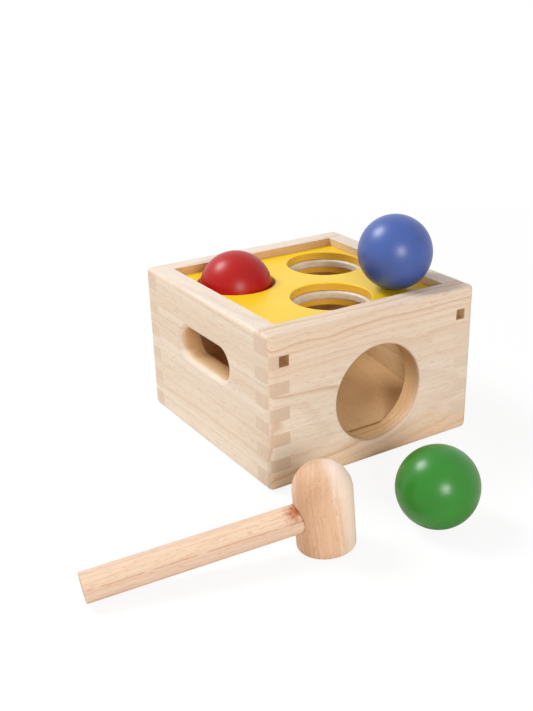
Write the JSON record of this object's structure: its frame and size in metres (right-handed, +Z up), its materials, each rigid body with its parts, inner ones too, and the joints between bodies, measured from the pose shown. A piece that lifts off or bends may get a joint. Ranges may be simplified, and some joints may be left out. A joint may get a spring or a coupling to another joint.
{
  "type": "ball drop box",
  "caption": "Finger-jointed wooden box toy: balls are pounded through rubber-ringed holes in its yellow top, roll down a hidden ramp and come out of a round exit in front, with a mallet.",
  "frame": {"origin": "on the table under the middle of the box", "axes": "+X to the right of the front wall, +Y from the front wall with the round exit to the back wall, +Z up"},
  "size_m": [0.2813, 0.2517, 0.1384],
  "materials": {
    "wall_wood": "pale sanded hardwood, clear matt oil",
    "inner_wood": "sanded hardwood board, unpainted",
    "yellow_paint": "satin yellow paint on wood",
    "ring_rubber": "milky white soft rubber",
    "red_paint": "satin red paint on wood",
    "blue_paint": "satin blue paint on wood",
    "green_paint": "satin green paint on wood",
    "mallet_wood": "warm turned hardwood, clear matt oil"
  },
  "bodies": {
    "box": {"front_wall": "wall_wood", "back_wall": "wall_wood", "left_wall": "wall_wood", "right_wall": "wall_wood", "upper_plate": "yellow_paint", "lower_plate": "yellow_paint", "back_left_ring": "ring_rubber", "back_right_ring": "ring_rubber", "front_ring": "ring_rubber", "ramp_board": "inner_wood", "left_cleat": "inner_wood", "right_cleat": "inner_wood", "left_guide": "inner_wood", "right_guide": "inner_wood"},
    "red_ball": {"red_ball": "red_paint"},
    "blue_ball": {"blue_ball": "blue_paint"},
    "green_ball": {"green_ball": "green_paint"},
    "mallet": {"mallet_head": "mallet_wood", "mallet_handle": "mallet_wood"}
  },
  "joints": [
    {"name": "red_ball_drop", "type": "slide", "parent": "box", "child": "red_ball", "axis": [0, 0, 1], "range_m": [-0.038, 0.06], "deforming": ["back_left_ring"]},
    {"name": "blue_ball_lift", "type": "slide", "parent": "box", "child": "blue_ball", "axis": [0, 0, 1], "range_m": [0, 0.06]},
    {"name": "green_ball_roll", "type": "slide", "parent": "box", "child": "green_ball", "axis": [0, -1, 0], "range_m": [0, 0.1]},
    {"name": "mallet_lift", "type": "slide", "parent": "box", "child": "mallet", "axis": [0, 0, 1], "range_m": [0, 0.12]}
  ]
}
